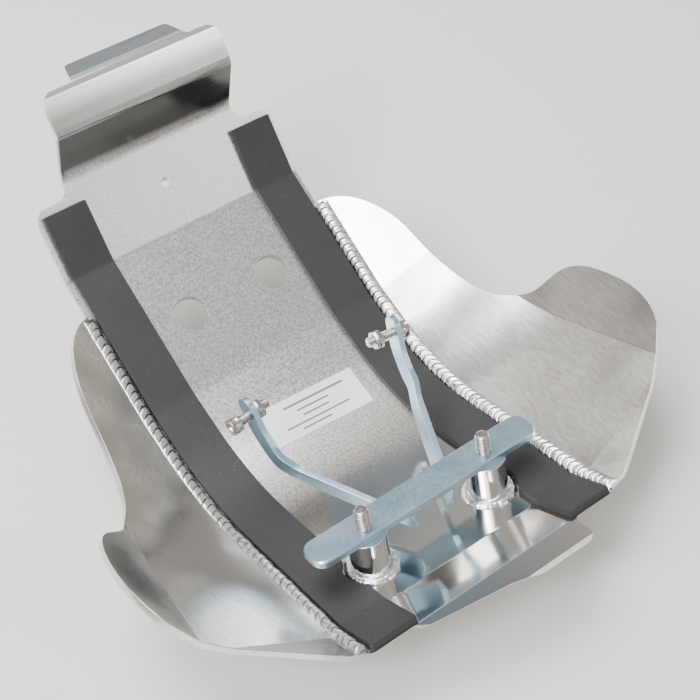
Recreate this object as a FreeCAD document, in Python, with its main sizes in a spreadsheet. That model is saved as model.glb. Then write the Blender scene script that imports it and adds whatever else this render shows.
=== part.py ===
import FreeCAD, Part
import math
import os

from FreeCAD import Placement, Rotation, Vector

# Motorcycle skid plate in 4 mm aluminium sheet. Millimetres and degrees.
# +Y is the front of the motorcycle, +X its right side, +Z up.
# The origin is the middle of the box that the part fills, on the floor.

doc = FreeCAD.newDocument("skid_plate")
sheet = doc.addObject("Spreadsheet::Sheet", "Sizes")

SIZES = [
    ("sheet_gauge", 4.0),
    ("plate_width", 166.0),
    ("belly_front", 7.5),
    ("belly_rear", -55.5),
    ("nose_slope", 9.0),
    ("nose_length", 93.7),
    ("chin_slope", 30.0),
    ("chin_length", 54.8),
    ("hook_slope", 81.0),
    ("hook_rise", 38.8),
    ("hook_top_slope", 33.5),
    ("hook_top_length", 26.0),
    ("lip_slope", -25.0),
    ("lip_length", 16.5),
    ("ramp_slope", 35.2),
    ("ramp_length", 131.0),
    ("kick_slope", 53.0),
    ("kick_length", 32.4),
    ("tail_slope", 42.0),
    ("tail_length", 16.5),
    ("tail_left_length", 5.0),
    ("belly_front_bend", 60.0),
    ("belly_rear_bend", 125.0),
    ("nose_bend", 12.0),
    ("hook_bend", 6.0),
    ("press_bend", 4.0),
    ("hook_width", 117.0),
    ("lip_root_width", 76.0),
    ("lip_end_width", 68.0),
    ("tail_width", 103.0),
    ("corner_fillet", 8.0),
    ("hole_pitch", 58.5),
    ("hole_offset", 3.0),
    ("hole_diameter", 21.5),
    ("hole_place", 50.4),
    ("pilot_diameter", 5.5),
    ("pilot_place", 125.0),
    ("strip_width", 27.5),
    ("strip_thick", 3.8),
    ("strip_clearance", 0.6),
    ("strip_front", 40.0),
    ("strip_rear", 1.4),
    ("wing_drop", 1.5),
    ("wing_rise", 0.75),
    ("lobe_rise", 0.8),
    ("heel_rise", 0.5),
    ("heel_setback", 2.0448),
    ("weld_start", 73.0),
    ("weld_pitch", 5.6),
    ("weld_crest", 0.8),
    ("weld_leg", 3.4),
    ("weld_bulge", 2.2),
    ("weld_lag", 2.0),
    ("weld_seat", 0.02),
    ("tube_weld_leg", 4.5),
    ("tube_weld_ripples", 14),
    ("weld_room", 5.6),
    ("bar_place", 105.0),
    ("bar_length", 149.0),
    ("bar_width", 20.0),
    ("bar_lead", 2.5),
    ("bar_thick", 5.0),
    ("bar_corner", 7.0),
    ("bar_edge", 0.8),
    ("stud_pitch", 81.4),
    ("tube_diameter", 22.0),
    ("tube_height", 24.0),
    ("tube_roof", 8.0),
    ("head_room", 15.0),
    ("clamp_thread", 8.0),
    ("clamp_length", 25.0),
    ("clamp_free", 12.0),
    ("clamp_head", 13.0),
    ("clearance_hole", 8.6),
    ("arm_gauge", 3.5),
    ("arm_width", 12.5),
    ("arm_bend_radius", 14.0),
    ("arm_thread", 6.0),
    ("arm_length", 20.0),
    ("arm_free", 4.0),
    ("arm_head", 10.0),
    ("neck_length", 1.0),
    ("neck_depth", 0.4),
    ("socket_reach", 0.46),
    ("socket_depth", 0.55),
    ("nut_flats", 10.0),
    ("nut_height", 5.0),
    ("left_head_gap", 7.0),
    ("right_nut_gap", 8.0),
    ("label_length", 66.0),
    ("label_width", 26.5),
    ("label_film", 0.3),
    ("label_glue", 0.12),
    ("label_side", 7.0),
    ("label_place", -37.0),
    ("label_turn", -3.0),
    ("rest_pitch", 21.0),
]

for row, (alias, value) in enumerate(SIZES, start=1):
    sheet.set("A%d" % row, alias)
    sheet.set("B%d" % row, str(value))
    sheet.setAlias("B%d" % row, alias)
doc.recompute()


def size(alias):
    return float(sheet.get(alias))


# The folded sheet, as a path of straight panels joined by bends, front to rear


class FoldPath:
    """A side view line (y, z) with rounded bends, walked from front to rear."""

    def __init__(self, points, radii):
        self.points = [Vector(0, y, z) for y, z in points]
        self.radii = radii
        self.pieces = self.build(0.0)

    def build(self, height):
        """Lines and arcs of the path, moved by height towards its upper side."""
        pieces = []
        start = self.points[0] + self.upward(0) * height
        for index in range(1, len(self.points) - 1):
            before = self.direction(index - 1)
            after = self.direction(index)
            turn = math.atan2(before.cross(after).x, before.dot(after))
            side = -1.0 if turn > 0 else 1.0
            radius = self.radii[index - 1]
            reach = radius * math.tan(abs(turn) / 2)
            tangent = self.points[index] - before * reach
            centre = tangent + self.upward(index - 1) * side * radius
            first = centre - self.upward(index - 1) * side * (radius - side * height)
            last = centre - self.upward(index) * side * (radius - side * height)
            pieces.append(("line", start, first))
            pieces.append(("arc", first, last, centre, radius - side * height, side))
            start = last
        final = self.points[-1] + self.upward(len(self.points) - 2) * height
        pieces.append(("line", start, final))
        return pieces

    def direction(self, index):
        return (self.points[index + 1] - self.points[index]).normalize()

    def upward(self, index):
        along = self.direction(index)
        return Vector(0, along.z, -along.y)

    def piece_length(self, piece):
        if piece[0] == "line":
            return (piece[2] - piece[1]).Length
        return piece[4] * (piece[1] - piece[3]).getAngle(piece[2] - piece[3])

    def length(self):
        return sum(self.piece_length(piece) for piece in self.pieces)

    def at(self, distance):
        """Point and upward normal at a distance along the path."""
        left = distance
        for piece in self.pieces:
            span = self.piece_length(piece)
            if left <= span or piece is self.pieces[-1]:
                break
            left -= span
        if piece[0] == "line":
            along = (piece[2] - piece[1]).normalize()
            return piece[1] + along * left, Vector(0, along.z, -along.y)
        start, centre, radius, side = piece[1], piece[3], piece[4], piece[5]
        turned = Rotation(Vector(1, 0, 0), math.degrees(-side * left / radius))
        arm = turned.multVec(start - centre)
        return centre + arm, arm.normalize() * -side

    def height(self, y):
        """Height of the path's upper side at a place along Y."""
        for piece in self.pieces:
            front, rear = piece[1], piece[2]
            if y >= rear.y or piece is self.pieces[-1]:
                break
        if piece[0] == "line":
            return front.z + (rear.z - front.z) * (front.y - y) / (front.y - rear.y)
        centre, radius, side = piece[3], piece[4], piece[5]
        return centre.z - side * math.sqrt(radius ** 2 - (y - centre.y) ** 2)

    def section(self, low, high):
        """Closed outline between two heights over the path."""
        edges = [piece_edge(piece) for piece in self.build(high)]
        under = self.build(low)
        edges.append(Part.LineSegment(edges[-1].EndPoint, under[-1][2]))
        edges += [piece_edge(piece) for piece in reversed(under)]
        edges.append(Part.LineSegment(under[0][1], edges[0].StartPoint))
        return edges


def piece_edge(piece):
    """Line or three point arc along one piece of a path."""
    if piece[0] == "line":
        return Part.LineSegment(piece[1], piece[2])
    first, last, centre, radius = piece[1], piece[2], piece[3], piece[4]
    middle = ((first - centre) + (last - centre)).normalize() * radius
    return Part.Arc(first, centre + middle, last)


def step(point, slope, length, heading):
    """Next bend of the path: heading is 1 towards the front, -1 towards the rear."""
    angle = math.radians(slope)
    return (point[0] + heading * length * math.cos(angle), point[1] + length * math.sin(angle))


GAUGE = size("sheet_gauge")
belly_rear = (size("belly_rear"), GAUGE)
belly_front = (size("belly_front"), GAUGE)
nose = step(belly_front, size("nose_slope"), size("nose_length"), 1)
chin = step(nose, size("chin_slope"), size("chin_length"), 1)
hook = step(chin, size("hook_slope"), size("hook_rise"), 1)
brow = step(hook, size("hook_top_slope"), size("hook_top_length"), 1)
lip = step(brow, size("lip_slope"), size("lip_length"), 1)
ramp = step(belly_rear, size("ramp_slope"), size("ramp_length"), -1)
kick = step(ramp, size("kick_slope"), size("kick_length"), -1)
tail = step(kick, size("tail_slope"), size("tail_length"), -1)

soft_bends = [size("nose_bend"), size("belly_front_bend"), size("belly_rear_bend")]
inside_bend = size("press_bend")
outside_bend = inside_bend + GAUGE

plate_path = FoldPath(
    [lip, brow, hook, chin, nose, belly_front, belly_rear, ramp, kick, tail],
    [outside_bend, outside_bend, size("hook_bend")] + soft_bends + [inside_bend, outside_bend],
)

strip_nose = step(nose, size("chin_slope"), size("strip_front"), 1)
strip_tail = step(ramp, size("kick_slope"), size("kick_length") - size("strip_rear"), -1)
strip_path = FoldPath(
    [strip_nose, nose, belly_front, belly_rear, ramp, strip_tail],
    soft_bends + [inside_bend],
)

ramp_far = step(belly_rear, size("ramp_slope"), 2 * size("ramp_length"), -1)
wing_path = FoldPath([chin, nose, belly_front, belly_rear, ramp_far], soft_bends)

# Placements: the part leans back on its round belly, and pieces sit on the rear ramp


def rest_placement():
    """Leans the part back, then sets it down on the floor midway between its ends."""
    lean = Rotation(Vector(1, 0, 0), size("rest_pitch"))
    ends = []
    for index in range(401):
        point, up = plate_path.at(plate_path.length() * index / 400)
        ends += [lean.multVec(point), lean.multVec(point - up * GAUGE)]
    middle = (max(end.y for end in ends) + min(end.y for end in ends)) / 2
    return Placement(Vector(0, -middle, -min(end.z for end in ends)), lean)


rest = rest_placement()
bar_foot = step(belly_rear, size("ramp_slope"), size("bar_place"), -1)


def on_ramp(x, height, y=0.0):
    """Placement on the ramp under the clamp bar, Z square to the sheet."""
    foot = Placement(Vector(x, *bar_foot), Rotation(Vector(1, 0, 0), -size("ramp_slope")))
    return rest * foot * Placement(Vector(0, y, height), Rotation())


parts = []


def finish(piece, label, placement):
    """Names one sub-part, puts it in its place and keeps it for the files."""
    piece.Label = label
    piece.Placement = placement
    parts.append(piece)
    return piece


def origin_plane(body, role):
    return [plane for plane in body.Origin.OriginFeatures if plane.Role == role][0]


def sketch_on(body, name, role, geometry, offset=None):
    """Sketch on one of the body's own origin planes."""
    sketch = body.newObject("Sketcher::SketchObject", name)
    sketch.AttachmentSupport = [(origin_plane(body, role), "")]
    sketch.MapMode = "FlatFace"
    if offset is not None:
        sketch.AttachmentOffset = offset
    for item in geometry:
        sketch.addGeometry(item)
    return sketch


def flat(points):
    """Side view edges (y, z) as sketch edges (x, y)."""
    turned = []
    for edge in points:
        start = Vector(edge.StartPoint.y, edge.StartPoint.z, 0)
        end = Vector(edge.EndPoint.y, edge.EndPoint.z, 0)
        if isinstance(edge, Part.LineSegment):
            turned.append(Part.LineSegment(start, end))
        else:
            middle = edge.value((edge.FirstParameter + edge.LastParameter) / 2)
            turned.append(Part.Arc(start, Vector(middle.y, middle.z, 0), end))
    return turned


def rounded(points):
    """Sketch edges through (x, y, radius) corners, each corner an arc."""
    edges = []
    ends = []
    count = len(points)
    for index, (x, y, radius) in enumerate(points):
        corner = Vector(x, y, 0)
        before = (Vector(*points[index - 1][:2], 0) - corner).normalize()
        after = (Vector(*points[(index + 1) % count][:2], 0) - corner).normalize()
        half = before.getAngle(after) / 2
        if radius == 0:
            ends.append((corner, None, corner))
            continue
        reach = radius / math.tan(half)
        bisector = (before + after).normalize()
        middle = corner + bisector * (radius / math.sin(half) - radius)
        ends.append((corner + before * reach, middle, corner + after * reach))
    for index, (first, middle, last) in enumerate(ends):
        if middle is not None:
            edges.append(Part.Arc(first, middle, last))
        following = ends[(index + 1) % count][0]
        edges.append(Part.LineSegment(last, following))
    return edges


def circle(x, y, diameter):
    return Part.Circle(Vector(x, y, 0), Vector(0, 0, 1), diameter / 2)


def pad(body, name, sketch, length, side="One side"):
    feature = body.newObject("PartDesign::Pad", name)
    feature.Profile = sketch
    feature.SideType = side
    feature.setExpression("Length", length)
    return feature


def pocket(body, name, sketch):
    """Cut through everything, both ways."""
    feature = body.newObject("PartDesign::Pocket", name)
    feature.Profile = sketch
    feature.Type = "ThroughAll"
    feature.SideType = "Symmetric"
    return feature


# Base plate: one folded sheet with a hook in front, two drain holes and a tail tab


def plate_outline():
    """Plan of the blank, right half then left half, each corner with its radius."""
    half = size("plate_width") / 2
    neck = size("hook_width") / 2
    root = size("lip_root_width") / 2
    end = size("lip_end_width") / 2
    tail_half = size("tail_width") / 2
    soft = size("corner_fillet")
    small = size("press_bend")
    front = strip_nose[0] + small
    shoulder = brow[0]
    short = step(kick, size("tail_slope"), size("tail_left_length"), -1)[0]
    reach = tail[0] - GAUGE
    tail_end = [
        (-tail_half, kick[0], small),
        (-tail_half, short, small),
        (-size("hole_offset"), (reach + short) / 2, soft),
        (0.4 * tail_half, reach, soft),
        (tail_half, reach, soft),
        (tail_half, kick[0], small),
    ]
    right = [
        (half, kick[0], small),
        (half, front, soft),
        (neck, front, soft),
        (neck, shoulder, soft),
        (root, shoulder, small),
        (end, lip[0], small),
    ]
    left = [(-x, y, radius) for x, y, radius in reversed(right)]
    return tail_end + right + left


plate = doc.addObject("PartDesign::Body", "base_plate_body")
fold_sketch = sketch_on(plate, "plate_fold", "YZ_Plane", flat(plate_path.section(-GAUGE, 0)))
pad(plate, "plate_sheet", fold_sketch, "Sizes.plate_width", "Symmetric")

margin = size("plate_width")
around = [(-margin, tail[0] - margin, 0), (margin, tail[0] - margin, 0),
          (margin, lip[0] + margin, 0), (-margin, lip[0] + margin, 0)]
blank_sketch = sketch_on(plate, "plate_blank", "XY_Plane", rounded(plate_outline()) + rounded(around))
doc.recompute()
pocket(plate, "plate_trim", blank_sketch)

half_pitch = size("hole_pitch") / 2
drain_holes = [circle(size("hole_offset") + side * half_pitch, size("hole_place"), size("hole_diameter"))
               for side in (-1, 1)]
pilot_hole = circle(0, size("pilot_place"), size("pilot_diameter"))
hole_sketch = sketch_on(plate, "plate_holes", "XY_Plane", drain_holes + [pilot_hole])
pocket(plate, "plate_drilling", hole_sketch)

ramp_frame = Placement(Vector(0, *bar_foot), Rotation(Vector(1, 0, 0), -size("ramp_slope")))
screw_holes = [circle(side * size("stud_pitch") / 2, 0, size("head_room")) for side in (-1, 1)]
screw_sketch = sketch_on(plate, "screw_holes", "XY_Plane", screw_holes, ramp_frame)
doc.recompute()
screw_cut = plate.newObject("PartDesign::Pocket", "screw_drilling")
screw_cut.Profile = screw_sketch
screw_cut.SideType = "Symmetric"
screw_cut.setExpression("Length", "4 * Sizes.sheet_gauge")
doc.recompute()
finish(plate, "base_plate", rest)

# Rubber strips: flat black rubber glued along both sides, trimmed round the tube welds


def rubber_strip(side, label):
    body = doc.addObject("PartDesign::Body", label + "_body")
    outer = size("plate_width") / 2 - size("weld_leg") - size("strip_clearance")
    start = outer - size("strip_width") if side > 0 else -outer
    offset = Placement(Vector(0, 0, start), Rotation())
    outline = flat(strip_path.section(0, size("strip_thick")))
    sketch = sketch_on(body, label + "_fold", "YZ_Plane", outline, offset)
    pad(body, label + "_pad", sketch, "Sizes.strip_width")
    weld_room = circle(side * size("stud_pitch") / 2, 0, size("tube_diameter") + 2 * size("weld_room"))
    notch = sketch_on(body, label + "_notch", "XY_Plane", [weld_room], ramp_frame)
    doc.recompute()
    pocket(body, label + "_trim", notch)
    doc.recompute()
    return finish(body, label, rest)


rubber_strip(-1, "rubber_strip_left")
rubber_strip(1, "rubber_strip_right")

# Wings: flared side guards, a sheared continuation of the plate's own curve.
# Past the lobe line the sheet is folded up, and past the heel line again.

wing_root = size("plate_width") / 2
LOBE_LINE = [(139.8, -53.0), (151.9, -131.0)]
heel_datum = kick[0] + size("heel_setback")
HEEL_LINE = [(137.4, heel_datum + 33.9), (89.8, heel_datum + 15.5)]
WING_FRONT = [
    (79, 75.5), (88, 73.5), (98.5, 66), (109, 50.5), (116, 31), (119.5, 9), (123, -12), (127.5, -31), (136.5, -48),
]
WING_LOBE = [
    (141.5, -54), (148, -57), (155.5, -57.5), (161, -61.5), (164.5, -69), (167, -82), (167.3, -98), (165, -111),
    (157.5, -126.5),
]
HEEL_EDGE = [(147, 40.5), (137, 32), (127, 25), (113.6, 15.4), (100.6, 6.4), (93, 1.3)]
WING_HEEL = [(x, heel_datum + forward) for x, forward in HEEL_EDGE]
WING_TIP = max(x for x, y in WING_LOBE)
WING_GRID = 5.0
WING_REACH = 2 * size("plate_width")


def wing_lean(x, y):
    """Underside of the right wing's main panel over a point of the plan."""
    return wing_path.height(y) - size("wing_drop") + size("wing_rise") * (x - wing_root)


def beyond(x, y, line):
    """Distance beyond a fold line in plan, negative before it."""
    (ax, ay), (bx, by) = line
    return ((by - ay) * (ax - x) - (bx - ax) * (ay - y)) / math.hypot(bx - ax, by - ay)


def wing_height(x, y):
    """Underside of the right wing, folds and all."""
    lobe = size("lobe_rise") * max(0.0, beyond(x, y, LOBE_LINE))
    heel = size("heel_rise") * max(0.0, beyond(x, y, HEEL_LINE))
    return wing_lean(x, y) + lobe + heel


def wing_point(x, y):
    return Vector(x, y, wing_height(x, y))


def wing_normal():
    """Mean direction square to the wing, between its front and rear panels."""
    front = Vector(-size("wing_rise"), 0, 1).normalize()
    rear = Vector(-size("wing_rise"), math.tan(math.radians(size("ramp_slope"))), 1).normalize()
    return (front + rear).normalize()


def spline(points):
    curve = Part.BSplineCurve()
    curve.interpolate(points)
    return curve.toShape()


def wing_slab(line=None, rise=0.0):
    """One panel's sheet, wider than the panel: straight along X, curved along Y."""
    edges = []
    rows = spread(kick[0] - 4 * GAUGE, WING_FRONT[0][1] + 2 * GAUGE, WING_GRID)
    for x in (wing_root - 2 * GAUGE, WING_TIP + GAUGE):
        turned_up = [rise * beyond(x, y, line) if line else 0.0 for y in rows]
        curve = Part.BSplineCurve()
        points = [Vector(x, y, wing_lean(x, y) + up) for y, up in zip(rows, turned_up)]
        curve.interpolate(Points=points, Parameters=rows)
        edges.append(curve.toShape())
    return Part.makeRuledSurface(*edges).extrude(wing_normal() * GAUGE)


def wing_column(edges):
    """Column square to the wing over a closed line of edges."""
    normal = wing_normal()
    flat_edges = [edge.transformGeometry(flatten(normal)) for edge in edges]
    column = Part.Face(Part.Wire(flat_edges)).extrude(normal * (2 * WING_REACH))
    column.translate(normal * -WING_REACH)
    return column


def past_fold(line):
    """Column over everything beyond a fold line."""
    start, end = [Vector(x, y, 0) for x, y in line]
    along = (end - start).normalize()
    margin = 4 * GAUGE
    walk = [start + along * step_on for step_on in spread(-margin, (end - start).Length + margin, WING_GRID)]
    crease = [Vector(place.x, place.y, wing_lean(place.x, place.y)) for place in walk]
    out = Vector(-along.y, along.x, 0) * size("plate_width")
    corners = [crease[-1], crease[-1] + out, crease[0] + out, crease[0]]
    sides = [Part.makeLine(near, far) for near, far in zip(corners, corners[1:])]
    return wing_column([spline(crease)] + sides)


def wing_outline():
    """Edge of the wing: front curve, notch, lobe curve, heel curve and root."""
    inner = WING_FRONT[0][0]
    heel_end = (inner, kick[0])
    notch = Part.makeLine(wing_point(*WING_FRONT[-1]), wing_point(*WING_LOBE[0]))
    curves = []
    for places in (WING_FRONT, WING_LOBE, WING_LOBE[-1:] + WING_HEEL):
        curves.append(spline([wing_point(x, y) for x, y in places]))
    heel = Part.makeLine(wing_point(*WING_HEEL[-1]), wing_point(*heel_end))
    root = spline([wing_point(inner, y) for y in spread(heel_end[1], WING_FRONT[0][1], 4 * WING_GRID)])
    return [curves[0], notch, curves[1], curves[2], heel, root]


def wing_solid():
    """Right wing: three panels joined at their folds, trimmed and butted to the plate."""
    lobe_side = past_fold(LOBE_LINE)
    heel_side = past_fold(HEEL_LINE)
    lobe = wing_slab(LOBE_LINE, size("lobe_rise")).common(lobe_side)
    heel = wing_slab(HEEL_LINE, size("heel_rise")).common(heel_side)
    main = wing_slab().cut(lobe_side).cut(heel_side)
    outline = wing_column(wing_outline())
    plate_side = Part.makeBox(wing_root, 2 * WING_REACH, 2 * WING_REACH, Vector(0, -WING_REACH, -WING_REACH))
    panels = [as_solid(panel.common(outline).cut(plate_side)) for panel in (main, lobe, heel)]
    return as_solid(panels[0].fuse(panels[1:]))


def spread(first, last, pitch):
    """Evenly spaced values from first to last, at most a pitch apart."""
    count = math.ceil((last - first) / pitch)
    return [first + (last - first) * index / count for index in range(count + 1)]


def as_solid(shape):
    """The one solid of a boolean result."""
    return max(shape.Solids, key=lambda solid: solid.Volume)


def flatten(normal):
    """Projection onto the plane through the origin square to the normal."""
    n = normal
    return FreeCAD.Matrix(
        1 - n.x * n.x, -n.x * n.y, -n.x * n.z, 0,
        -n.y * n.x, 1 - n.y * n.y, -n.y * n.z, 0,
        -n.z * n.x, -n.z * n.y, 1 - n.z * n.z, 0,
        0, 0, 0, 1)


def keep_shape(label, shape, placement):
    piece = doc.addObject("Part::Feature", label + "_shape")
    piece.Shape = shape
    return finish(piece, label, placement)


right_wing = wing_solid()
keep_shape("wing_right", right_wing, rest)
keep_shape("wing_left", right_wing.mirror(Vector(0, 0, 0), Vector(1, 0, 0)), rest)

# Weld beads: overlapping ripples in the corner between plate and wing


def wing_top(x, y):
    """Upper side of the right wing over a point of the plan."""
    shift = wing_normal() * GAUGE
    return wing_height(x - shift.x, y - shift.y) + shift.z


def wing_over_strip(x, point, up):
    """Height of the wing's upper side, square to the plate, or the weld's own seat where it is lower."""
    height = 0.0
    for _ in range(20):
        rise = (wing_top(x, point.y + height * up.y) - point.z) / up.z
        height = max(0.0, (height + rise) / 2)
    return max(size("weld_seat"), height)


BEAD_FACES = 3


def bead_ring(distance, swell, lag):
    """One crescent of the bead: its middle lags behind its two toes."""
    point, up = strip_path.at(distance)
    toe_x = wing_root + size("weld_leg")
    low = Vector(wing_root - size("weld_leg"), 0, 0)
    high = Vector(toe_x, wing_over_strip(toe_x, point, up), 0)
    chord = high - low
    outward = Vector(-chord.y, chord.x, 0).normalize()
    corners = [(low, 0.0)]
    for index in range(1, BEAD_FACES):
        arch = math.sin(math.pi * index / BEAD_FACES)
        bulge = (size("weld_bulge") + swell) * arch
        corners.append((low + chord * (index / BEAD_FACES) + outward * bulge, arch))
    corners.append((high, 0.0))
    corners.append((Vector(wing_root, wing_over_strip(wing_root, point, up), 0), 0.0))
    corners.append((Vector(wing_root, 0, 0), 0.0))
    ring = []
    for corner, arch in corners:
        lagging, raised = strip_path.at(distance + lag * arch)
        ring.append(Vector(corner.x, lagging.y, lagging.z) + raised * corner.y)
    return ring


def skin(rings):
    """Closed solid of flat triangles over rings of points, one after another."""
    faces = []
    for near, far in zip(rings, rings[1:]):
        for index in range(len(near)):
            following = (index + 1) % len(near)
            faces.append(triangle(near[index], near[following], far[following]))
            faces.append(triangle(near[index], far[following], far[index]))
    if rings[0] is not rings[-1]:
        faces += [Part.Face(Part.makePolygon(ring + ring[:1])) for ring in (rings[0], rings[-1])]
    shell = Part.Shell(faces)
    shell.sewShape()
    solid = Part.makeSolid(shell)
    if solid.Volume < 0:
        solid.reverse()
    return solid


def triangle(first, second, third):
    return Part.Face(Part.makePolygon([first, second, third, first]))


def bead_solid():
    """Rings of low and high swell in turn, skinned with flat facets."""
    first = distance_at(size("weld_start"))
    last = strip_path.length() - size("weld_leg")
    lag = size("weld_lag")
    count = int((last - first) / size("weld_pitch"))
    rings = [bead_ring(first - size("weld_leg") / 2, 0.0, 0.0)]
    for index in range(count):
        place = first + index * (last - first) / count
        rings.append(bead_ring(place, 0.0, lag))
        rings.append(bead_ring(place + 0.6 * size("weld_pitch"), size("weld_crest"), lag))
    rings.append(bead_ring(last + lag, 0.0, 0.0))
    return skin(rings)


def distance_at(y):
    """Distance along the strip path to a place along Y, found by halving."""
    low, high = 0.0, strip_path.length()
    for _ in range(40):
        middle = (low + high) / 2
        if strip_path.at(middle)[0].y > y:
            low = middle
        else:
            high = middle
    return low


right_bead = bead_solid()
keep_shape("weld_bead_right", right_bead, rest)
keep_shape("weld_bead_left", right_bead.mirror(Vector(0, 0, 0), Vector(1, 0, 0)), rest)

# Spacer tubes: round bosses on the ramp, open below for the screw head


def cylinder(name, diameter, height, base=0.0):
    """Upright cylinder whose sizes are expressions on the sheet."""
    piece = doc.addObject("Part::Cylinder", name)
    piece.setExpression("Radius", "(%s) / 2" % diameter)
    piece.setExpression("Height", height)
    if base:
        piece.setExpression("Placement.Base.z", base)
    return piece


def cut(name, base, tool):
    piece = doc.addObject("Part::Cut", name)
    piece.Base = base
    piece.Tool = tool
    return piece


def fuse(name, pieces):
    piece = doc.addObject("Part::MultiFuse", name)
    piece.Shapes = pieces
    return piece


def spacer_tube(side, label):
    wall = cylinder(label + "_wall", "Sizes.tube_diameter", "Sizes.tube_height")
    room = cylinder(label + "_room", "Sizes.head_room", "Sizes.tube_height - Sizes.tube_roof")
    hole = cylinder(label + "_hole", "Sizes.clearance_hole", "Sizes.tube_height")
    tube = cut(label + "_cut", wall, fuse(label + "_bore", [room, hole]))
    return finish(tube, label, on_ramp(side * size("stud_pitch") / 2, 0))


# Tube welds: a ripple ring round the foot of each spacer tube


def weld_ring(side, label):
    """Foot, shoulder, crown and top of the weld at each turn, in shares of its leg."""
    ripples = int(size("tube_weld_ripples"))
    radius = size("tube_diameter") / 2 / math.cos(math.pi / (2 * ripples))
    leg = size("tube_weld_leg")
    rings = []
    for index in range(2 * ripples):
        swell = size("weld_crest") if index % 2 else 0.0
        angle = math.pi * index / ripples
        turn = Rotation(Vector(0, 0, 1), math.degrees(angle))
        profile = [(radius, 0), (radius + leg + swell, 0), (radius + 0.75 * leg + swell, 0.4 * leg),
                   (radius + 0.3 * leg, 0.65 * leg + 0.5 * swell), (radius, 0.75 * leg)]
        rings.append([turn.multVec(Vector(x, 0, z)) for x, z in profile])
    return keep_shape(label, skin(rings + rings[:1]), on_ramp(side * size("stud_pitch") / 2, 0))


# Clamp bar: thick zinc plated bar with round corners and two tapped holes


def clamp_bar():
    body = doc.addObject("PartDesign::Body", "clamp_bar_body")
    half_length = size("bar_length") / 2
    half_width = size("bar_width") / 2
    corner = size("bar_corner")
    corners = [(-half_length, -half_width, corner), (half_length, -half_width, corner),
               (half_length, half_width, corner), (-half_length, half_width, corner)]
    sketch = sketch_on(body, "bar_outline", "XY_Plane", rounded(corners))
    block = pad(body, "bar_block", sketch, "Sizes.bar_thick")
    doc.recompute()
    top = [name for name, face in face_names(block) if face.CenterOfMass.z > size("bar_thick") - 0.01]
    bottom = [name for name, face in face_names(block) if face.CenterOfMass.z < 0.01]
    edge = body.newObject("PartDesign::Chamfer", "bar_edge_chamfer")
    edge.Base = (block, top + bottom)
    edge.setExpression("Size", "Sizes.bar_edge")
    doc.recompute()
    pitch = size("stud_pitch")
    holes = [circle(side * pitch / 2, -size("bar_lead"), size("clamp_thread")) for side in (-1, 1)]
    pocket(body, "bar_tapping", sketch_on(body, "bar_holes", "XY_Plane", holes))
    doc.recompute()
    return finish(body, "clamp_bar", on_ramp(0, size("tube_height"), size("bar_lead")))


def face_names(feature):
    return [("Face%d" % number, face) for number, face in enumerate(feature.Shape.Faces, start=1)]


# Screws: socket head cap screws, without their thread. Socket sizes are shares of the thread


def cap_screw(label, kind, placement):
    """Screw of one kind, clamp or arm: head below the placement, shank along its Z."""
    thread = kind + "_thread"
    gripped = "Sizes.%s_length - Sizes.%s_free" % (kind, kind)
    shank = cylinder(label + "_shank", "Sizes." + thread, gripped)
    neck = cylinder(label + "_neck", "Sizes.%s - 2 * Sizes.neck_depth" % thread, "Sizes.%s_length" % kind)
    free_length = "Sizes.%s_free - Sizes.neck_length" % kind
    free_end = cylinder(label + "_end", "Sizes." + thread, free_length, gripped + " + Sizes.neck_length")
    top = cylinder(label + "_head", "Sizes.%s_head" % kind, "Sizes." + thread, "-Sizes." + thread)
    socket = doc.addObject("Part::Prism", label + "_socket")
    socket.Polygon = 6
    socket.setExpression("Circumradius", "Sizes.socket_reach * Sizes." + thread)
    socket.setExpression("Height", "Sizes.socket_depth * Sizes." + thread)
    socket.setExpression("Placement.Base.z", "-Sizes." + thread)
    screw = cut(label + "_cut", fuse(label + "_blank", [shank, neck, free_end, top]), socket)
    return finish(screw, label, placement)


for side, name in ((-1, "left"), (1, "right")):
    spacer_tube(side, "spacer_tube_" + name)
    weld_ring(side, "tube_weld_" + name)
    seat = size("tube_height") - size("tube_roof")
    place = on_ramp(side * size("stud_pitch") / 2, seat)
    cap_screw("clamp_screw_" + name, "clamp", place)
clamp_bar()

# Arms: straps cut from plate, standing on edge, bent once and welded under the bar

ARM_PLAN = [(11.4, -138.0), (46.5, -65.0), (51.0, -25.0)]
ARM_SIDE = [(-76.0, 52.5), (-58.0, 53.5), (-45.0, 59.0), (-33.5, 69.5)]
ARM_BENDS = [22.0, 22.0, 20.0, 20.0]
EYE_BACK = 4.0
EYE_PLAY = 0.2


def ramp_point(back, height):
    """Side view place over the ramp: distance behind the screws and height."""
    foot = step(belly_rear, size("ramp_slope"), size("bar_place") + back, -1)
    angle = math.radians(size("ramp_slope"))
    return (foot[0] + height * math.sin(angle), foot[1] + height * math.cos(angle))


def arm_plan():
    """Thin band in plan: the strap's thickness, bent once."""
    points = [(y, x) for x, y in ARM_PLAN]
    half = size("arm_gauge") / 2
    path = FoldPath(points[::-1], [size("arm_bend_radius")])
    edges = path.section(-half, half)
    wire = Part.Wire([edge.toShape() for edge in edges])
    turn = FreeCAD.Matrix(0, 0, 1, 0, 0, 1, 0, 0, 1, 0, 0, 0, 0, 0, 0, 1)
    return Part.Face(wire.transformGeometry(turn))


def arm_side():
    """Strap outline from the side: a curved band with a round eye."""
    half = size("arm_width") / 2
    level = size("tube_height") - half
    half_bar = size("bar_width") / 2
    welded = [ramp_point(back - size("bar_lead"), level) for back in (half_bar, -half_bar - 2)]
    path = FoldPath((welded + ARM_SIDE)[::-1], ARM_BENDS)
    return Part.Face(Part.Wire([edge.toShape() for edge in path.section(-half, half)]))


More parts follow.
